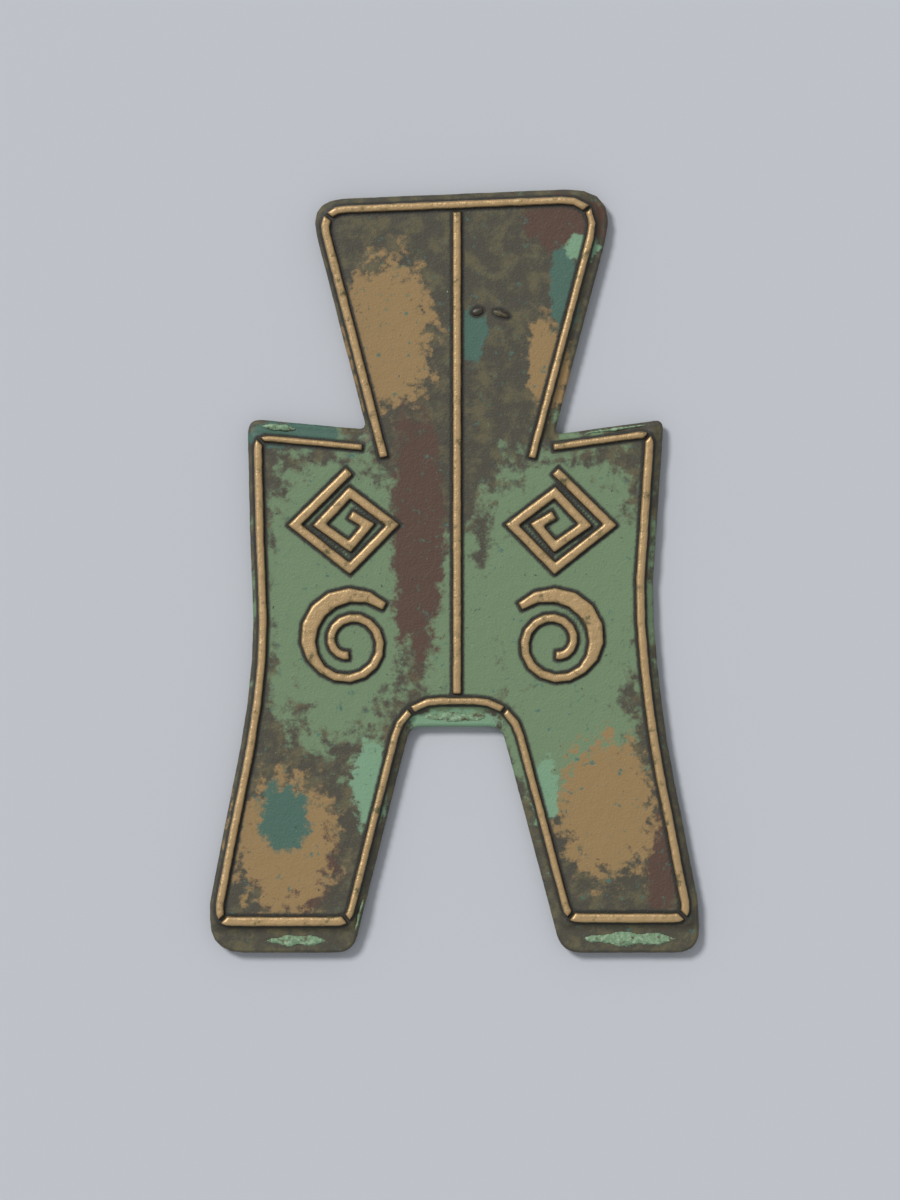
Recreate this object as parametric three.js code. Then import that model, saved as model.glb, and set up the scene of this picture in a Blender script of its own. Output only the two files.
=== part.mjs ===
// A cast bronze spade coin: a thin plate with a flared head, square shoulders and two square feet,
// a thin casting fin round its edge, raised lines on both faces and mineral crusts that grew in the
// ground. It lies on its back. Millimetres, +X to the right of the face, +Y to the head, +Z out of
// the face, with the origin under the middle of the plate.

import * as THREE from "three";

// Half-widths run from the centre line and heights from the foot edge. The mould was cut by hand,
// so the two sides differ a little. Corners are given sharp, with the length that is rounded off.
const left = {
  headHalfWidth: 8.83,
  headHeight: 44.35,
  headRounding: 2.2,
  neckHalfWidth: 5.35,
  neckHeight: 30.85,
  shoulderHalfWidth: 12.35,
  shoulderHeight: 31.5,
  shoulderRounding: 0.9,
  upperSideHalfWidth: 12.2,
  upperSideHeight: 24.5,
  waistHalfWidth: 12.03,
  waistHeight: 18.6,
  flareHalfWidth: 12.55,
  flareHeight: 13.4,
  shinHalfWidth: 13.75,
  shinHeight: 7.2,
  footTipHalfWidth: 14.55,
  footTipHeight: 3.0,
  footHalfWidth: 14.62,
  footRounding: 2.1,
  soleHalfWidth: 6.1,
  soleRounding: 1.0,
  crotchHalfWidth: 2.75,
};
const right = {
  headHalfWidth: 9.6,
  headHeight: 45.12,
  headRounding: 3.3,
  neckHalfWidth: 5.75,
  neckHeight: 30.55,
  shoulderHalfWidth: 12.2,
  shoulderHeight: 31.45,
  shoulderRounding: 0.6,
  upperSideHalfWidth: 11.75,
  upperSideHeight: 24.5,
  waistHalfWidth: 11.57,
  waistHeight: 20.2,
  flareHalfWidth: 12.25,
  flareHeight: 13.4,
  shinHalfWidth: 13.4,
  shinHeight: 7.2,
  footTipHalfWidth: 14.2,
  footTipHeight: 3.1,
  footHalfWidth: 14.35,
  footRounding: 1.5,
  soleHalfWidth: 6.15,
  soleRounding: 1.1,
  crotchHalfWidth: 2.6,
};
const crotchHeight = 13.3;
const neckRounding = 0.4;
const crotchRounding = 0.6;
const cornerSteps = 5;
const sideSteps = 12;

// Thicknesses. The fin is the metal that ran out between the two halves of the mould, and each
// stretch of the edge has its own width of it on the face.
const plateThickness = 0.9;
const finThickness = 0.5;
const finBackStep = 0.15;
const finEdgeRun = 0.08;
const plateEdgeRun = 0.1;
const plateBend = 0.2;
const frontFin = {
  top: 0.28,
  head_left: 0.15,
  head_right: 0.54,
  shoulder_left: 0.72,
  shoulder_right: 0.35,
  side_left: 0.18,
  side_right: 0.35,
  foot_left: 1.42,
  foot_right: 1.62,
  leg_left: 0.34,
  leg_right: 0.53,
  crotch: 1.14,
};
const backFin = 0.38;

// Raised lines. Each has a flat crest and two short sloping flanks.
const frontLineHeight = 0.3;
const backLineHeight = 0.25;
const lineFlankRun = 0.12;
const lineGap = 0.1;
const lineBend = 0.7;
const plateMargin = 0.05;
const frontCrest = {
  top: 0.3,
  head_left: 0.36,
  head_right: 0.28,
  shoulder_left: 0.22,
  shoulder_right: 0.26,
  side_left: 0.34,
  side_right: 0.36,
  foot_left: 0.42,
  foot_right: 0.42,
  leg_left: 0.28,
  leg_right: 0.3,
  crotch: 0.28,
};
const backCrest = 0.34;
const centreLineCrest = 0.36;
const neckTail = 0.55;
const shoulderLineStop = 1.1;
const fanHalfWidth = 3.4;
const fanHeadGap = 1.0;
const fanFootGap = 0.5;

// The ornament on the face: in each panel a lozenge-shaped key above and a round whorl below.
const ornament = {
  left: { middle: -6.3, turn: 1 },
  right: { middle: 5.75, turn: -1 },
};
const lozengeHeight = 25.2;
const lozengeHalfWidth = 3.6;
const lozengeHalfHeight = 3.2;
const lozengeTurns = 2;
const lozengePitch = 1.45;
const lozengeCrest = 0.4;
const whorlHeight = 18.3;
const whorlRadius = 2.95;
const whorlTurns = 1.6;
const whorlPitch = 1.35;
const whorlCrest = 0.34;
const whorlSwell = 0.5;
const whorlStepsPerTurn = 16;

// Two casting pips on the head.
const pips = [
  { name: "head_pip_left", x: 1.2, y: 37.75, length: 0.75, width: 0.5, turn: 0.3 },
  { name: "head_pip_right", x: 2.6, y: 37.6, length: 1.1, width: 0.42, turn: -0.35 },
];
const pipRise = 0.16;

// Mineral crusts that sit on the fin: the stretch they follow, the share of its length they cover,
// the share of the fin's width they fill, and how thick they are.
const crusts = [
  { name: "shoulder_crust_left", on: "shoulder_left", from: 0.6, to: 0.93, fill: 0.8, rise: 0.3 },
  { name: "shoulder_crust_right", on: "shoulder_right", from: 0.08, to: 0.72, fill: 0.8, rise: 0.22 },
  { name: "foot_crust_left", on: "foot_left", from: 0.35, to: 0.83, fill: 0.6, rise: 0.16 },
  { name: "foot_crust_right", on: "foot_right", from: 0.14, to: 0.88, fill: 0.65, rise: 0.18 },
  { name: "leg_crust_left", on: "leg_left", from: 0.04, to: 0.2, fill: 0.85, rise: 0.28 },
  { name: "crotch_crust", on: "crotch", from: 0.1, to: 0.9, fill: 0.7, rise: 0.14 },
];
const moundSteps = 10;
const moundArchSteps = 4;

// Levels, from the surface that the coin lies on.
const plateBack = backLineHeight;
const finBack = plateBack + finBackStep;
const finFront = finBack + finThickness;
const plateFront = plateBack + plateThickness;

const bronze = { color: 0x4a5240, roughness: 0.7, metalness: 0.35 };
const wornBronze = { color: 0xa5804f, roughness: 0.45, metalness: 0.8 };
const backBronze = { color: 0x6b5b3d, roughness: 0.55, metalness: 0.6 };
const malachite = { color: 0x5e8a64, roughness: 0.9, metalness: 0.0 };

// The side of the plate between shoulder and foot tip, as a smooth curve from top to bottom.
function sidePoints(side) {
  const curve = new THREE.SplineCurve([
    new THREE.Vector2(side.shoulderHalfWidth, side.shoulderHeight),
    new THREE.Vector2(side.upperSideHalfWidth, side.upperSideHeight),
    new THREE.Vector2(side.waistHalfWidth, side.waistHeight),
    new THREE.Vector2(side.flareHalfWidth, side.flareHeight),
    new THREE.Vector2(side.shinHalfWidth, side.shinHeight),
    new THREE.Vector2(side.footTipHalfWidth, side.footTipHeight),
  ]);
  return curve.getSpacedPoints(sideSteps).slice(1);
}

// One side's corners from head to crotch. A corner says how much is rounded off, whether it turns
// inwards, and which stretch of the edge starts at it.
function sideCorners(side, name) {
  const corner = (x, y, rounding, stretch, hollow = false) => ({
    at: new THREE.Vector2(x, y),
    rounding,
    stretch,
    hollow,
  });
  return [
    corner(side.headHalfWidth, side.headHeight, side.headRounding, "head_" + name),
    corner(side.neckHalfWidth, side.neckHeight, neckRounding, "shoulder_" + name, true),
    corner(side.shoulderHalfWidth, side.shoulderHeight, side.shoulderRounding, "side_" + name),
    ...sidePoints(side).map((p) => corner(p.x, p.y, 0, "side_" + name)),
    corner(side.footHalfWidth, 0, side.footRounding, "foot_" + name),
    corner(side.soleHalfWidth, 0, side.soleRounding, "leg_" + name),
    corner(side.crotchHalfWidth, crotchHeight, crotchRounding, "crotch", true),
  ];
}

// The whole edge, counter-clockwise from the left head corner, with sharp corners.
function edgeCorners() {
  const down = sideCorners(left, "left");
  down.forEach((c) => (c.at.x = -c.at.x));
  const up = sideCorners(right, "right");
  // On the way up a stretch starts at its lower corner, so each takes the name of the one above.
  const upNames = ["top", ...up.slice(0, -1).map((c) => c.stretch)];
  up.forEach((c, i) => (c.stretch = upNames[i]));
  return [...down, ...up.reverse()];
}

const edge = edgeCorners();

// The edge moved inwards, each stretch by its own amount, with corners where the moved ones cross.
function insetCorners(insetOf) {
  const nearlyStraight = 0.1;
  return edge.map((corner, i) => {
    const before = edge.at(i - 1);
    const after = edge[(i + 1) % edge.length];
    const u = corner.at.clone().sub(before.at).normalize();
    const v = after.at.clone().sub(corner.at).normalize();
    const insetBefore = insetOf(before.stretch);
    const insetAfter = insetOf(corner.stretch);
    const cross = u.cross(v);
    const shift =
      Math.abs(cross) < nearlyStraight
        ? new THREE.Vector2(-u.y - v.y, u.x + v.x).multiplyScalar((insetBefore + insetAfter) / 4)
        : v.clone().multiplyScalar(insetBefore).addScaledVector(u, -insetAfter).divideScalar(cross);
    return { ...corner, at: corner.at.clone().add(shift), inset: Math.max(insetBefore, insetAfter) };
  });
}

// A loop of points with its corners rounded. Every loop has the same number of points, so two of
// them can be joined by a wall. A corner's first half belongs to the stretch before it.
function roundedLoop(insetOf, leastBend) {
  const corners = insetCorners(insetOf);
  return corners.flatMap((corner, i) => {
    if (corner.rounding === 0) return [{ at: corner.at, stretch: corner.stretch }];
    const before = corners.at(i - 1);
    const after = corners[(i + 1) % corners.length];
    const wanted = corner.hollow
      ? corner.rounding + corner.inset
      : Math.max(leastBend, corner.rounding - corner.inset);
    const toward = (neighbour) => {
      const way = neighbour.at.clone().sub(corner.at);
      const room = neighbour.rounding === 0 ? 0.95 : 0.49;
      const reach = Math.min(wanted, way.length() * room);
      return corner.at.clone().addScaledVector(way.normalize(), reach);
    };
    const bend = new THREE.QuadraticBezierCurve(toward(before), corner.at, toward(after));
    return bend.getPoints(cornerSteps).map((at, k) => ({
      at,
      stretch: k < cornerSteps / 2 ? before.stretch : corner.stretch,
      neck: corner.hollow && corner.at.y > crotchHeight * 1.5,
    }));
  });
}

// A closed solid between stacked loops: the first is its back and the last its front.
function stackedLoops(rings) {
  const count = rings[0].loop.length;
  const positions = rings.flatMap(({ loop, z }) => loop.flatMap(({ at }) => [at.x, at.y, z]));
  const cap = (loop) => THREE.ShapeUtils.triangulateShape(loop.map(({ at }) => at), []);
  const index = cap(rings[0].loop).flatMap(([a, b, c]) => [a, c, b]);
  for (let r = 0; r + 1 < rings.length; r++)
    for (let i = 0; i < count; i++) {
      const a = r * count + i;
      const b = r * count + ((i + 1) % count);
      index.push(a, b, b + count, a, b + count, a + count);
    }
  const last = (rings.length - 1) * count;
  index.push(...cap(rings.at(-1).loop).flat().map((i) => i + last));
  return solid(positions, index);
}

function solid(positions, index) {
  return new THREE.BufferGeometry()
    .setAttribute("position", new THREE.Float32BufferAttribute(positions, 3))
    .setIndex(index);
}

// A raised line along a path: a trapezoid in section, with mitred bends and sloping ends. It rises
// from baseZ to crestZ, up on the face and down on the back. crestAt gives the crest's width. An end
// is square to the path, or to the way given for it.
function ridge({ path, startWay, finishWay }, crestAt, baseZ, crestZ) {
  const directions = path.slice(1).map((p, i) => p.clone().sub(path[i]).normalize());
  const endSlope = (a, b) => Math.min(lineFlankRun, a.distanceTo(b) / 2);
  const startSlope = endSlope(path[0], path[1]);
  const finishSlope = endSlope(path.at(-1), path.at(-2));
  const positions = [];
  path.forEach((p, i) => {
    const u = i > 0 ? directions[i - 1] : (startWay ?? directions[0]);
    const v = directions[i] ?? finishWay ?? directions.at(-1);
    const isEnd = i === 0 || i === path.length - 1;
    const along = isEnd ? (i === 0 ? u : v).clone() : u.clone().add(v).normalize();
    const normal = new THREE.Vector2(-along.y, along.x);
    const mitre = 1 / Math.max(0.5, along.dot(v));
    const half = crestAt(i / (path.length - 1)) / 2;
    const slope = i === 0 ? startSlope : i === path.length - 1 ? -finishSlope : 0;
    const place = (side, reach, z, drawnIn) => {
      const at = p.clone().addScaledVector(normal, side * reach * mitre);
      at.addScaledVector(along, drawnIn);
      positions.push(at.x, at.y, z);
    };
    place(1, half + lineFlankRun, baseZ, 0);
    place(1, half, crestZ, slope);
    place(-1, half, crestZ, slope);
    place(-1, half + lineFlankRun, baseZ, 0);
  });
  const index = [];
  const quad = (a, b, c, d) => index.push(a, b, c, a, c, d);
  for (let i = 0; i + 1 < path.length; i++)
    for (let k = 0; k < 4; k++) {
      const a = i * 4 + k;
      const b = i * 4 + ((k + 1) % 4);
      quad(a, b, b + 4, a + 4);
    }
  const end = (path.length - 1) * 4;
  quad(0, 3, 2, 1);
  quad(end, end + 1, end + 2, end + 3);
  return solid(positions, crestZ > baseZ ? index : index.reverse());
}

// A low mound with a flat base on a path, pointed at both ends. halfWidthAt and riseAt run over the
// share of the path's length.
function mound(path, halfWidthAt, riseAt, baseZ) {
  const row = moundArchSteps + 1;
  const first = path[0];
  const last = path.at(-1);
  const inner = path.slice(1, -1);
  const positions = [first.x, first.y, baseZ];
  inner.forEach((p, i) => {
    const share = (i + 1) / (path.length - 1);
    const along = path[i + 2].clone().sub(path[i]).normalize();
    for (let k = 0; k < row; k++) {
      const angle = (Math.PI * k) / moundArchSteps;
      const reach = Math.cos(angle) * halfWidthAt(share);
      const rise = k === 0 || k === moundArchSteps ? 0 : Math.sin(angle) * riseAt(share);
      positions.push(p.x - along.y * reach, p.y + along.x * reach, baseZ + rise);
    }
  });
  positions.push(last.x, last.y, baseZ);
  const end = inner.length * row + 1;
  const index = [];
  for (let k = 0; k < row; k++) {
    const next = (k + 1) % row;
    index.push(0, 1 + next, 1 + k);
    index.push(end, end - row + k, end - row + next);
    for (let i = 0; i + 1 < inner.length; i++) {
      const a = 1 + i * row + k;
      const b = 1 + i * row + next;
      index.push(a, b + row, a + row, a, b, b + row);
    }
  }
  return solid(positions, index);
}

// Points at even steps along a run of points, from one share of its length to another.
function resampled(points, from, to, steps) {
  const path = new THREE.Path(points);
  return Array.from({ length: steps + 1 }, (_, i) => path.getPointAt(from + ((to - from) * i) / steps));
}

// The points of one stretch of a loop, in order.
function stretchOf(loop, stretch) {
  const start = loop.findIndex((p, i) => p.stretch === stretch && loop.at(i - 1).stretch !== stretch);
  return [...loop.slice(start), ...loop.slice(0, start)].filter((p) => p.stretch === stretch);
}

// A rim line's path: its stretch of the loop, out to the middle of the corner at each end less half
// a gap. At the neck the head lines run on past the corner and the shoulder lines stop short of it.
function rimPath(insetOf, stretch) {
  const loop = roundedLoop(insetOf, lineBend);
  const points = stretchOf(loop, stretch);
  const place = loop.indexOf(points[0]);
  const beforeStart = loop.at(place - 1).at;
  const afterEnd = loop[(loop.indexOf(points.at(-1)) + 1) % loop.length].at;
  const path = points.filter((p) => !p.neck).map((p) => p.at);
  const middleLess = (from, to) => {
    const way = to.clone().sub(from).normalize();
    return from.clone().addScaledVector(way, (from.distanceTo(to) - lineGap) / 2);
  };
  const corners = insetCorners(insetOf);
  const isHead = stretch.startsWith("head");
  const neckEnd = (stretchStart, far) => {
    const neck = corners[stretchStart].at;
    const way = neck.clone().sub(far).normalize();
    return neck.clone().addScaledVector(way, isHead ? neckTail : -shoulderLineStop);
  };
  const neckLeft = corners.findIndex((c) => c.stretch === "shoulder_left");
  const neckRight = corners.findIndex((c) => c.stretch === "head_right");
  const startsAtNeck = stretch === "shoulder_left" || stretch === "head_right";
  const endsAtNeck = stretch === "head_left" || stretch === "shoulder_right";
  const neckIndex = stretch.endsWith("left") ? neckLeft : neckRight;
  const start = startsAtNeck ? neckEnd(neckIndex, path[0]) : middleLess(path[0], beforeStart);
  const finish = endsAtNeck ? neckEnd(neckIndex, path.at(-1)) : middleLess(path.at(-1), afterEnd);
  // The point next to a joint is left out, so that no step is shorter than the line is wide, and the
  // two lines that meet there have parallel ends.
  const startWay = startsAtNeck ? undefined : path[0].clone().sub(beforeStart).normalize();
  const finishWay = endsAtNeck ? undefined : afterEnd.clone().sub(path.at(-1)).normalize();
  const kept = path.slice(startsAtNeck ? 0 : 1, endsAtNeck ? path.length : -1);
  return { path: [start, ...kept, finish], startWay, finishWay };
}

// Where a path that goes across crosses the middle, as a height.
function heightAtMiddle({ path: points }) {
  const i = points.findIndex((p, k) => k > 0 && p.x * points[k - 1].x <= 0);
  const a = points[i - 1];
  const b = points[i];
  return a.y + ((b.y - a.y) * a.x) / (a.x - b.x);
}

const coin = new THREE.Group();

function add(name, geometry, finish) {
  geometry.computeVertexNormals();
  const mesh = new THREE.Mesh(geometry, new THREE.MeshStandardMaterial(finish));
  mesh.name = name;
  coin.add(mesh);
}

// The plate with its fin, from the back to the face.
const stretches = Object.keys(frontFin);
const finMiddle = finThickness / 2;
const ring = (insetOf, z) => ({ loop: roundedLoop(insetOf, plateBend), z });
add(
  "plate",
  stackedLoops([
    ring(() => backFin + plateEdgeRun, plateBack),
    ring(() => backFin, finBack),
    ring(() => finEdgeRun, finBack),
    ring(() => 0, finBack + finMiddle),
    ring(() => finEdgeRun, finFront),
    ring((s) => frontFin[s], finFront),
    ring((s) => frontFin[s] + plateEdgeRun, plateFront),
  ]),
  bronze,
);

// The rim lines of both faces, one for each stretch of the edge.
const lineFoot = plateEdgeRun + plateMargin + lineFlankRun;
const frontInset = (s) => frontFin[s] + lineFoot + frontCrest[s] / 2;
const backInset = () => backFin + lineFoot + backCrest / 2;
const frontCrestZ = plateFront + frontLineHeight;
for (const s of stretches) {
  const front = ridge(rimPath(frontInset, s), () => frontCrest[s], plateFront, frontCrestZ);
  add("front_" + s + "_line", front, wornBronze);
  const back = ridge(rimPath(backInset, s), () => backCrest, plateBack, 0);
  add("back_" + s + "_line", back, backBronze);
}

// The centre line of each face, from the top rim line to the crotch rim line.
function centreLine(name, insetOf, topCrest, crotchCrest, baseZ, crestZ, finish) {
  const clearance = lineFlankRun + lineGap;
  const top = heightAtMiddle(rimPath(insetOf, "top")) - topCrest / 2 - clearance;
  const bottom = heightAtMiddle(rimPath(insetOf, "crotch")) + crotchCrest / 2 + clearance;
  const path = [new THREE.Vector2(0, top), new THREE.Vector2(0, bottom)];
  add(name, ridge({ path }, () => centreLineCrest, baseZ, crestZ), finish);
}
const { top: topCrest, crotch: crotchCrest } = frontCrest;
centreLine("front_centre_line", frontInset, topCrest, crotchCrest, plateFront, frontCrestZ, wornBronze);
centreLine("back_centre_line", backInset, backCrest, backCrest, plateBack, 0, backBronze);

// Two lines that fan out on the back, from under the neck to the feet.
for (const [name, side, sign] of [["left", left, -1], ["right", right, 1]]) {
  const footMiddle = (side.footHalfWidth + side.soleHalfWidth) / 2;
  const footHeight = backInset() + backCrest / 2 + lineFlankRun + fanFootGap;
  const path = [
    new THREE.Vector2(sign * fanHalfWidth, side.neckHeight - fanHeadGap),
    new THREE.Vector2(sign * footMiddle, footHeight),
  ];
  add("back_fan_line_" + name, ridge({ path }, () => backCrest, plateBack, 0), backBronze);
}

// The lozenge keys: an angular spiral with a corner at each quarter turn.
function lozengePath(middle, turn) {
  const corners = lozengeTurns * 4;
  return Array.from({ length: corners + 1 }, (_, k) => {
    const angle = Math.PI * (0.5 + k / 2);
    const scale = 1 - ((k / 4) * lozengePitch) / lozengeHalfWidth;
    return new THREE.Vector2(
      middle + turn * lozengeHalfWidth * scale * Math.cos(angle),
      lozengeHeight + lozengeHalfHeight * scale * Math.sin(angle),
    );
  });
}

// The whorls: a round spiral that starts thick, like a crescent, and thins as it winds in.
function whorlPath(middle, turn) {
  const steps = Math.round(whorlTurns * whorlStepsPerTurn);
  return Array.from({ length: steps + 1 }, (_, k) => {
    const turns = k / whorlStepsPerTurn;
    const radius = whorlRadius - turns * whorlPitch;
    const angle = Math.PI * (0.25 + 2 * turns);
    return new THREE.Vector2(
      middle + turn * radius * Math.cos(angle),
      whorlHeight + radius * Math.sin(angle),
    );
  });
}
const whorlCrestAt = (share) => {
  const swollen = Math.min(1, (share * whorlTurns) / 0.5);
  return whorlCrest + whorlSwell * Math.sin(Math.PI * swollen);
};

for (const [name, { middle, turn }] of Object.entries(ornament)) {
  const keyPath = { path: lozengePath(middle, turn) };
  const key = ridge(keyPath, () => lozengeCrest, plateFront, frontCrestZ);
  add("lozenge_key_" + name, key, wornBronze);
  const whorl = ridge({ path: whorlPath(middle, turn) }, whorlCrestAt, plateFront, frontCrestZ);
  add("whorl_" + name, whorl, wornBronze);
}

// The pips on the head, each a small flat-based grain.
for (const { name, x, y, length, width, turn } of pips) {
  const half = new THREE.Vector2(Math.cos(turn), Math.sin(turn)).multiplyScalar(length / 2);
  const middle = new THREE.Vector2(x, y);
  const path = resampled([middle.clone().sub(half), middle.clone().add(half)], 0, 1, moundSteps);
  const round = (share) => Math.sqrt(1 - (2 * share - 1) ** 2);
  const pip = mound(path, (t) => (width / 2) * round(t), (t) => pipRise * round(t), plateFront);
  add(name, pip, wornBronze);
}

// The crusts, each a lumpy bank along the middle of the fin.
for (const { name, on, from, to, fill, rise } of crusts) {
  const middle = (s) => (finEdgeRun + frontFin[s]) / 2;
  const points = stretchOf(roundedLoop(middle, plateBend), on).map((p) => p.at);
  const halfWidth = ((frontFin[on] - finEdgeRun) / 2) * fill;
  const lumps = (share) => 0.8 + 0.2 * Math.sin(17 * share + 5 * from);
  const ends = (share) => Math.sqrt(Math.sin(Math.PI * share));
  const crust = mound(
    resampled(points, from, to, moundSteps),
    (t) => halfWidth * ends(t) * lumps(t),
    (t) => rise * ends(t) * lumps(t + 0.3),
    finFront,
  );
  add(name, crust, malachite);
}

// The origin goes under the middle of the plate.
const middle = new THREE.Box3().setFromObject(coin).getCenter(new THREE.Vector3());
coin.position.set(-middle.x, -middle.y, 0);

export default coin;
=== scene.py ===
# A cast bronze spade coin lying on its back on a pale surface, seen from straight above.
# Lengths are in millimetres where a name ends in _mm and in metres everywhere else.

import math

import bmesh
import bpy
import numpy as np
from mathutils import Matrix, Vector
from mathutils.bvhtree import BVHTree


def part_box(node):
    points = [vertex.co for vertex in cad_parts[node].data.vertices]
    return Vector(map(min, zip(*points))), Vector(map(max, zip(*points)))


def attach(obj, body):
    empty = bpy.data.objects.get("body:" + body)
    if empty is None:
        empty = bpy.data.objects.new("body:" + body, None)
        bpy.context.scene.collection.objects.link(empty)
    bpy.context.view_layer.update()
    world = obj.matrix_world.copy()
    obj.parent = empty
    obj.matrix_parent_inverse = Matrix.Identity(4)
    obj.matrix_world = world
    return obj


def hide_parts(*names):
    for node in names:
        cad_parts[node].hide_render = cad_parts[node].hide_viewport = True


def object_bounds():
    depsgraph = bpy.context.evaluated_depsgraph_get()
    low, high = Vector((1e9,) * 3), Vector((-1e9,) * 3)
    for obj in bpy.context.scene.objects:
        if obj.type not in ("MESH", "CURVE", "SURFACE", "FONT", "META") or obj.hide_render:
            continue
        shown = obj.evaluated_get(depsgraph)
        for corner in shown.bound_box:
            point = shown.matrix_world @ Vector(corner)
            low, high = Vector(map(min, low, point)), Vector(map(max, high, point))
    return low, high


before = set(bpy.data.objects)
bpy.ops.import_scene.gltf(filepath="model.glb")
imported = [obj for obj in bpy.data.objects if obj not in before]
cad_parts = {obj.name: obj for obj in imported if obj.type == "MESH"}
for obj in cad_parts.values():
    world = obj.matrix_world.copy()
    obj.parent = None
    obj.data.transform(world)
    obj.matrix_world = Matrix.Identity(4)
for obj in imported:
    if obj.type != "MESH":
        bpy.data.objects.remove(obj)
cad_low, cad_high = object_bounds()

# The camera looks straight down. The frame's middle lies a little left of and below the coin's, and
# the frame is 1200 pixels tall where the coin is 766.
coin_length_px = 766
frame_height_px = 1200
middle_left_px = 4.5
middle_below_px = 29
camera_height = 0.30
sensor_width_mm = 36.0

pixel = (cad_high.y - cad_low.y) / coin_length_px
frame_middle = Vector((-middle_left_px * pixel, -middle_below_px * pixel, 0.0))
camera_data = bpy.data.cameras.new("camera_above")
camera_data.sensor_width = sensor_width_mm
camera_data.lens = sensor_width_mm * camera_height / (frame_height_px * pixel)
camera_data.clip_start = 0.01
camera_data.clip_end = 10.0
camera = bpy.data.objects.new("camera_above", camera_data)
camera.location = frame_middle + Vector((0.0, 0.0, camera_height + cad_high.z))
bpy.context.scene.collection.objects.link(camera)
bpy.context.scene.camera = camera

# The floor is a plain pale sheet. A soft light comes from the upper left, with a grey sky round it.
floor_half = 0.6
floor_colour = (0.50, 0.515, 0.545)
floor_roughness = 0.9
sky_colour = (0.93, 0.96, 1.0)
sky_strength = 0.5
key_strength = 2.3
key_softness = math.radians(16)
key_direction = Vector((0.62, -0.62, -1.0))

bpy.context.scene.view_settings.view_transform = "Standard"
floor_mesh = bpy.data.meshes.new("floor")
floor_corners = [(-floor_half, -floor_half, 0), (floor_half, -floor_half, 0)]
floor_corners += [(floor_half, floor_half, 0), (-floor_half, floor_half, 0)]
floor_mesh.from_pydata(floor_corners, [], [(0, 1, 2, 3)])
floor = bpy.data.objects.new("floor", floor_mesh)
bpy.context.scene.collection.objects.link(floor)
floor_material = bpy.data.materials.new("pale_grey_sheet")
floor_material.use_nodes = True
floor_bsdf = floor_material.node_tree.nodes["Principled BSDF"]
floor_bsdf.inputs["Base Color"].default_value = (*floor_colour, 1.0)
floor_bsdf.inputs["Roughness"].default_value = floor_roughness
floor_mesh.materials.append(floor_material)

sky = bpy.data.worlds.new("grey_sky")
sky.use_nodes = True
sky.node_tree.nodes["Background"].inputs["Color"].default_value = (*sky_colour, 1.0)
sky.node_tree.nodes["Background"].inputs["Strength"].default_value = sky_strength
bpy.context.scene.world = sky
key_data = bpy.data.lights.new("key_light", "SUN")
key_data.energy = key_strength
key_data.angle = key_softness
key_light = bpy.data.objects.new("key_light", key_data)
key_light.rotation_euler = key_direction.to_track_quat("-Z", "Y").to_euler()
bpy.context.scene.collection.objects.link(key_light)

# The plate: one thin casting of bronze, poured between two halves of a mould. Its skin is lumpy from
# the mould and pitted by the ground, and a patina of green, brown and ochre has grown on it.
MM = 0.001
plate_voxel_mm = 0.15
plate_lump_mm = (1.6, 0.05)
plate_pit_mm = (0.35, 0.04)
merge_distance_mm = 0.0005


def fine_copy(name, node, voxel_mm):
    """A closed fine mesh of a node's shape, with evenly small faces, in millimetres."""
    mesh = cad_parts[node].data.copy()
    shape = bmesh.new()
    shape.from_mesh(mesh)
    bmesh.ops.scale(shape, vec=(1 / MM, 1 / MM, 1 / MM), verts=shape.verts)
    bmesh.ops.remove_doubles(shape, verts=shape.verts, dist=merge_distance_mm)
    shape.to_mesh(mesh)
    shape.free()
    mesh.materials.clear()
    piece = bpy.data.objects.new(name, mesh)
    bpy.context.scene.collection.objects.link(piece)
    remesh = piece.modifiers.new("fine_faces", "REMESH")
    remesh.mode = "VOXEL"
    remesh.voxel_size = voxel_mm
    return piece


def bake(piece):
    """Turns a piece with its modifiers into a plain mesh, from millimetres to metres."""
    graph = bpy.context.evaluated_depsgraph_get()
    mesh = bpy.data.meshes.new_from_object(piece.evaluated_get(graph))
    piece.modifiers.clear()
    piece.data = mesh
    shape = bmesh.new()
    shape.from_mesh(mesh)
    bmesh.ops.scale(shape, vec=(MM, MM, MM), verts=shape.verts)
    shape.to_mesh(mesh)
    shape.free()
    mesh.shade_smooth()


def feed(tree, socket, term):
    """Gives a socket a number, a colour or a link from another socket."""
    if isinstance(term, tuple):
        socket.default_value = (*term, 1.0)
    elif isinstance(term, (int, float)):
        socket.default_value = term
    else:
        tree.links.new(term, socket)


def maths(tree, operation, *terms):
    """One step of arithmetic on sockets and numbers."""
    step = tree.nodes.new("ShaderNodeMath")
    step.operation = operation
    for socket, term in zip(step.inputs, terms):
        feed(tree, socket, term)
    return step.outputs[0]


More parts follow.
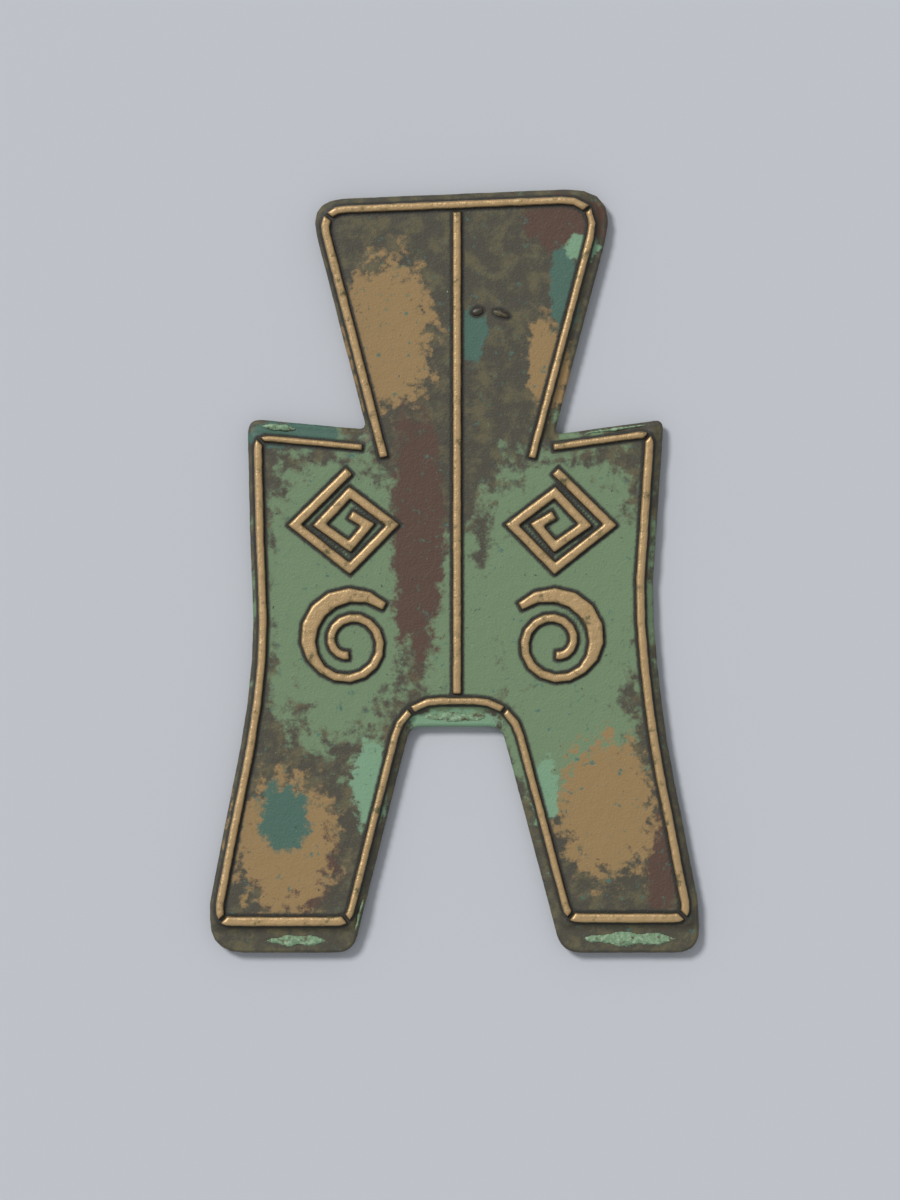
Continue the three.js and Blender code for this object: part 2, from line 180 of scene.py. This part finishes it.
def cast_skin_tree():
    """Geometry nodes that move a casting's surface in and out by lumps and pits."""
    tree = bpy.data.node_groups.new("cast_skin", "GeometryNodeTree")
    face = tree.interface
    face.new_socket("Geometry", in_out="INPUT", socket_type="NodeSocketGeometry")
    for label in ["Lump Size", "Lump Depth", "Pit Size", "Pit Depth"]:
        face.new_socket(label, in_out="INPUT", socket_type="NodeSocketFloat")
    face.new_socket("Finish", in_out="INPUT", socket_type="NodeSocketMaterial")
    face.new_socket("Geometry", in_out="OUTPUT", socket_type="NodeSocketGeometry")
    node = tree.nodes.new
    link = tree.links.new
    given = node("NodeGroupInput")
    heights = []
    for wave in ["Lump", "Pit"]:
        noise = node("ShaderNodeTexNoise")
        noise.inputs["Detail"].default_value = 3.0
        link(maths(tree, "DIVIDE", 1.0, given.outputs[wave + " Size"]), noise.inputs["Scale"])
        centred = maths(tree, "SUBTRACT", noise.outputs["Fac"], 0.5)
        heights.append(maths(tree, "MULTIPLY", centred, given.outputs[wave + " Depth"]))
    offset = node("ShaderNodeVectorMath")
    offset.operation = "SCALE"
    link(node("GeometryNodeInputNormal").outputs[0], offset.inputs[0])
    link(maths(tree, "ADD", *heights), offset.inputs["Scale"])
    move = node("GeometryNodeSetPosition")
    link(given.outputs["Geometry"], move.inputs["Geometry"])
    link(offset.outputs[0], move.inputs["Offset"])
    realize = node("GeometryNodeRealizeInstances")
    link(move.outputs[0], realize.inputs[0])
    paint = node("GeometryNodeSetMaterial")
    link(realize.outputs[0], paint.inputs["Geometry"])
    link(given.outputs["Finish"], paint.inputs["Material"])
    link(paint.outputs[0], node("NodeGroupOutput").inputs[0])
    return tree


cast_skin = cast_skin_tree()


def cast_piece(name, node, voxel_mm, finish, lump_mm, pit_mm):
    """A fine copy of a node with a cast skin, a finish and its place in the frame. Lumps and pits
    are each given as a size and a depth."""
    piece = fine_copy(name, node, voxel_mm)
    skin = piece.modifiers.new("cast_skin", "NODES")
    skin.node_group = cast_skin
    sizes = {
        "Lump Size": lump_mm[0],
        "Lump Depth": lump_mm[1],
        "Pit Size": pit_mm[0],
        "Pit Depth": pit_mm[1],
        "Finish": finish,
    }
    for item in cast_skin.interface.items_tree:
        if item.in_out == "INPUT" and item.name in sizes:
            skin[item.identifier] = sizes[item.name]
    bake(piece)
    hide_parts(node)
    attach(piece, "root")
    return piece


def new_finish(name):
    """A material with its tree, its shader and a texture coordinate in millimetres."""
    material = bpy.data.materials.new(name)
    material.use_nodes = True
    tree = material.node_tree
    place = tree.nodes.new("ShaderNodeTexCoord")
    in_mm = tree.nodes.new("ShaderNodeMapping")
    in_mm.inputs["Scale"].default_value = (1 / MM, 1 / MM, 1 / MM)
    tree.links.new(place.outputs["Object"], in_mm.inputs["Vector"])
    return material, tree, tree.nodes["Principled BSDF"], in_mm.outputs["Vector"]


def speckle_group():
    """Grain that breaks up a mask: fine noise is added to it, and the sum is cut at one half."""
    tree = bpy.data.node_groups.new("speckle", "ShaderNodeTree")
    face = tree.interface
    face.new_socket("Place", in_out="INPUT", socket_type="NodeSocketVector")
    for label in ["Mask", "Grain Size", "Breakup", "Softness"]:
        face.new_socket(label, in_out="INPUT", socket_type="NodeSocketFloat")
    face.new_socket("Mask", in_out="OUTPUT", socket_type="NodeSocketFloat")
    link = tree.links.new
    given = tree.nodes.new("NodeGroupInput").outputs
    noise = tree.nodes.new("ShaderNodeTexNoise")
    noise.inputs["Detail"].default_value = 5.0
    noise.inputs["Roughness"].default_value = 0.65
    link(given["Place"], noise.inputs["Vector"])
    link(maths(tree, "DIVIDE", 1.0, given["Grain Size"]), noise.inputs["Scale"])
    centred = maths(tree, "SUBTRACT", noise.outputs["Fac"], 0.5)
    grown = maths(tree, "MULTIPLY_ADD", centred, given["Breakup"], given["Mask"])
    cut = tree.nodes.new("ShaderNodeMapRange")
    cut.interpolation_type = "SMOOTHSTEP"
    link(grown, cut.inputs["Value"])
    link(maths(tree, "SUBTRACT", 0.5, given["Softness"]), cut.inputs["From Min"])
    link(maths(tree, "ADD", 0.5, given["Softness"]), cut.inputs["From Max"])
    link(cut.outputs["Result"], tree.nodes.new("NodeGroupOutput").inputs["Mask"])
    return tree


speckle = speckle_group()


def speckled(tree, place, mask, grain_mm, breakup, softness=0.12):
    """A mask socket or value, broken up by the speckle group."""
    group = tree.nodes.new("ShaderNodeGroup")
    group.node_tree = speckle
    group.inputs["Grain Size"].default_value = grain_mm
    group.inputs["Breakup"].default_value = breakup
    group.inputs["Softness"].default_value = softness
    tree.links.new(place, group.inputs["Place"])
    feed(tree, group.inputs["Mask"], mask)
    return group.outputs["Mask"]


def painted(tree, below, colour, mask):
    """A colour laid over the one below where the mask is white."""
    mix = tree.nodes.new("ShaderNodeMix")
    mix.data_type = "RGBA"
    tree.links.new(mask, mix.inputs["Factor"])
    feed(tree, mix.inputs["A"], below)
    feed(tree, mix.inputs["B"], colour)
    return mix.outputs["Result"]


def stored(tree, name):
    """A number kept on the mesh's points."""
    node = tree.nodes.new("ShaderNodeAttribute")
    node.attribute_name = name
    return node.outputs["Fac"]


def grain_bump(tree, place, bsdf, grain_mm, height_mm):
    """Fine grain in the surface's shading."""
    noise = tree.nodes.new("ShaderNodeTexNoise")
    noise.inputs["Scale"].default_value = 1 / grain_mm
    noise.inputs["Detail"].default_value = 4.0
    tree.links.new(place, noise.inputs["Vector"])
    bump = tree.nodes.new("ShaderNodeBump")
    bump.inputs["Distance"].default_value = height_mm * MM
    tree.links.new(noise.outputs["Fac"], bump.inputs["Height"])
    tree.links.new(bump.outputs["Normal"], bsdf.inputs["Normal"])


# The bare metal of the head and legs, and the stains over it, the lowest coat first. A spot is its
# middle and its half-size, in millimetres from the coin's middle.
bare_dark = (0.052, 0.046, 0.028)
bare_light = (0.10, 0.085, 0.04)
stains = [
    {
        "name": "body_green",
        "colour": (0.14, 0.21, 0.11),
        "grain_mm": 1.2,
        "breakup": 1.4,
        "spots_mm": [
            (-7.0, -1.5, 4.5, 9.0),
            (6.5, -1.5, 5.5, 9.0),
            (0.5, -4.0, 2.5, 6.0),
            (6.5, -10.0, 4.0, 4.0),
        ],
    },
    {
        "name": "rust_brown",
        "colour": (0.075, 0.038, 0.022),
        "grain_mm": 0.9,
        "breakup": 1.2,
        "spots_mm": [
            (-2.2, 2.0, 1.6, 7.5),
            (6.5, 20.5, 2.6, 1.6),
            (12.2, -17.0, 0.9, 3.5),
            (-9.5, -17.0, 2.5, 3.0),
        ],
    },
    {
        "name": "ochre",
        "colour": (0.27, 0.17, 0.065),
        "grain_mm": 0.7,
        "breakup": 1.5,
        "spots_mm": [
            (-4.0, 14.0, 2.6, 4.5),
            (9.0, -14.0, 3.0, 4.0),
            (-10.0, -16.0, 3.0, 4.0),
            (5.5, 12.0, 1.2, 2.6),
        ],
    },
    {
        "name": "teal",
        "colour": (0.05, 0.115, 0.085),
        "grain_mm": 0.8,
        "breakup": 1.3,
        "spots_mm": [
            (-10.0, -14.5, 1.5, 2.0),
            (-9.5, 8.0, 3.0, 0.8),
            (1.0, 14.0, 0.8, 1.6),
            (6.5, 16.5, 0.8, 2.6),
        ],
    },
    {
        "name": "mint",
        "colour": (0.17, 0.30, 0.18),
        "grain_mm": 0.6,
        "breakup": 1.4,
        "spots_mm": [
            (0.0, -9.0, 2.8, 0.8),
            (5.3, -13.0, 0.8, 2.0),
            (-5.0, -12.5, 1.0, 2.5),
            (7.5, 19.0, 1.0, 0.8),
        ],
    },
]
stain_core = 1.25
stain_fade = 0.75

# Specks all over the plate, and the dirt and painted shade that darken the crevice along each raised
# line.
specks = [
    {"colour": (0.05, 0.13, 0.10), "level": 0.34, "grain_mm": 0.5},
    {"colour": (0.30, 0.36, 0.24), "level": 0.27, "grain_mm": 0.28},
    {"colour": (0.015, 0.014, 0.010), "level": 0.31, "grain_mm": 0.35},
]
# The crevice colour is dirt and painted shade together, laid in the hollow beside each line.
crevice_dirt_and_shade_colour = (0.016, 0.014, 0.009)
crevice_reach_mm = 0.28

patina, tree, bsdf, place = new_finish("patina")
mask = speckled(tree, place, 0.45, grain_mm=1.1, breakup=1.2)
colour = painted(tree, bare_dark, bare_light, mask)
for stain in stains:
    amount = stored(tree, stain["name"])
    mask = speckled(tree, place, amount, stain["grain_mm"], stain["breakup"])
    colour = painted(tree, colour, stain["colour"], mask)
for speck in specks:
    mask = speckled(tree, place, speck["level"], speck["grain_mm"], breakup=1.0, softness=0.06)
    colour = painted(tree, colour, speck["colour"], mask)
# Painted shade and dirt: the plate is darkened in colour close to each raised line.
crevice = stored(tree, "crevice")
mask = speckled(tree, place, crevice, grain_mm=0.3, breakup=0.5, softness=0.3)
colour = painted(tree, colour, crevice_dirt_and_shade_colour, mask)
tree.links.new(colour, bsdf.inputs["Base Color"])
bsdf.inputs["Roughness"].default_value = 0.58
grain_bump(tree, place, bsdf, grain_mm=0.12, height_mm=0.03)

plate = cast_piece(
    "plate_casting", "plate", plate_voxel_mm, patina, plate_lump_mm, plate_pit_mm
)


def relief_tree():
    """A search tree over the raised lines of both faces, in metres."""
    points, faces = [], []
    for name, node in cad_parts.items():
        if name == "plate" or "crust" in name:
            continue
        start = len(points)
        points += [v.co.copy() for v in node.data.vertices]
        faces += [[start + i for i in p.vertices] for p in node.data.polygons]
    return BVHTree.FromPolygons(points, faces)


def store(mesh, name, values):
    """Keeps one number for each point on the mesh."""
    attribute = mesh.attributes.new(name, "FLOAT", "POINT")
    attribute.data.foreach_set("value", values.astype(np.float32))


places = np.zeros(len(plate.data.vertices) * 3, np.float32)
plate.data.vertices.foreach_get("co", places)
places = places.reshape(-1, 3)
relief = relief_tree()
# How near each point lies to a raised line, for the painted shade and dirt in the crevice.
gaps = np.array([relief.find_nearest(Vector(p))[3] for p in places])
store(plate.data, "crevice", np.clip(1 - gaps / (crevice_reach_mm * MM), 0, 1))
for stain in stains:
    amount = np.zeros(len(places))
    for x, y, half_x, half_y in stain["spots_mm"]:
        far = np.hypot((places[:, 0] / MM - x) / half_x, (places[:, 1] / MM - y) / half_y)
        amount = np.maximum(amount, np.clip(stain_core - stain_fade * far, 0, 1))
    store(plate.data, stain["name"], amount)

# The raised lines of the face: ridges of the same bronze, cut as grooves in the mould. Fingers wore
# their crests bright, and their flanks are dark patina with painted shade.
line_voxel_mm = 0.07
face_lump_mm = (0.9, 0.07)
line_pit_mm = (0.3, 0.03)
dark_foot_mm = 0.06
line_stain_colour = (0.13, 0.11, 0.05)


# The flank colour is dark patina and painted shade: the low flanks of each line are painted near
# black.
def worn_finish(name, crest_colour, flank_patina_and_shade_colour, dark_z_mm, bright_z_mm):
    """Bronze that goes from dark to worn bright between two heights, with a few stains."""
    material, tree, bsdf, place = new_finish(name)
    apart = tree.nodes.new("ShaderNodeSeparateXYZ")
    tree.links.new(place, apart.inputs[0])
    height = tree.nodes.new("ShaderNodeMapRange")
    height.inputs["From Min"].default_value = dark_z_mm
    height.inputs["From Max"].default_value = bright_z_mm
    tree.links.new(apart.outputs["Z"], height.inputs["Value"])
    bright = height.outputs["Result"]
    worn = speckled(tree, place, bright, grain_mm=0.5, breakup=0.7, softness=0.2)
    stained = speckled(tree, place, 0.36, grain_mm=0.8, breakup=1.1, softness=0.1)
    # Worn bright bronze on the crests, dark patina with painted shade on the flanks.
    colour = painted(tree, flank_patina_and_shade_colour, crest_colour, worn)
    colour = painted(tree, colour, line_stain_colour, stained)
    tree.links.new(colour, bsdf.inputs["Base Color"])
    tree.links.new(maths(tree, "MULTIPLY", worn, 0.55), bsdf.inputs["Metallic"])
    bsdf.inputs["Roughness"].default_value = 0.42
    grain_bump(tree, place, bsdf, grain_mm=0.1, height_mm=0.02)
    return material


line_low, line_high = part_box("front_centre_line")
worn_face = worn_finish(
    "worn_bronze",
    crest_colour=(0.46, 0.31, 0.15),
    flank_patina_and_shade_colour=(0.035, 0.028, 0.014),
    dark_z_mm=line_low.z / MM + dark_foot_mm,
    bright_z_mm=line_high.z / MM,
)
for node in sorted(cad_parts):
    if node.startswith("front_"):
        name = node.replace("front_", "face_")
        cast_piece(
            name, node, line_voxel_mm, worn_face, face_lump_mm, line_pit_mm
        )

# The ornament of the face, a key and a whorl in each panel, and the two pips on the head: cast in
# one with the plate like the lines, and worn like them.
pip_voxel_mm = 0.04
pip_lump_mm = (0.6, 0.03)
pip_pit_mm = (0.2, 0.02)

for node in ["lozenge_key_left", "lozenge_key_right", "whorl_left", "whorl_right"]:
    name = node + "_relief"
    cast_piece(name, node, line_voxel_mm, worn_face, face_lump_mm, line_pit_mm)
for node in ["head_pip_left", "head_pip_right"]:
    name = node + "_grain"
    cast_piece(name, node, pip_voxel_mm, worn_face, pip_lump_mm, pip_pit_mm)

# The lines of the back: cast like those of the face, but lower, softer and browner. They are worn
# only where the coin lies on them.
back_lump_mm = (0.9, 0.05)
back_pit_mm = (0.3, 0.02)
back_finish = worn_finish(
    "back_bronze",
    crest_colour=(0.24, 0.17, 0.08),
    # The back's flank colour is also dark patina with painted shade.
    flank_patina_and_shade_colour=(0.04, 0.032, 0.018),
    dark_z_mm=0.2,
    bright_z_mm=0.02,
)
for node in sorted(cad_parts):
    if node.startswith("back_"):
        name = node.replace("back_", "reverse_")
        cast_piece(
            name, node, line_voxel_mm, back_finish, back_lump_mm, back_pit_mm
        )

# The crusts: green copper mineral and clay that grew on the fin in the ground. They are rough and
# dull, and lie on the shoulders, the feet, the left leg and the crotch.
crust_voxel_mm = 0.06
crust_lump_mm = (0.5, 0.14)
crust_pit_mm = (0.18, 0.08)
mineral_dark = (0.16, 0.26, 0.15)
mineral_light = (0.30, 0.42, 0.27)
clay_brown = (0.09, 0.07, 0.04)

crust_finish, tree, bsdf, place = new_finish("mineral_crust")
mask = speckled(tree, place, 0.45, grain_mm=0.25, breakup=1.2)
colour = painted(tree, mineral_dark, mineral_light, mask)
mask = speckled(tree, place, 0.38, grain_mm=0.4, breakup=1.3)
colour = painted(tree, colour, clay_brown, mask)
tree.links.new(colour, bsdf.inputs["Base Color"])
bsdf.inputs["Roughness"].default_value = 0.85
grain_bump(tree, place, bsdf, grain_mm=0.08, height_mm=0.04)
for node in sorted(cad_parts):
    if "crust" in node:
        name = node + "_lump"
        cast_piece(
            name, node, crust_voxel_mm, crust_finish, crust_lump_mm, crust_pit_mm
        )
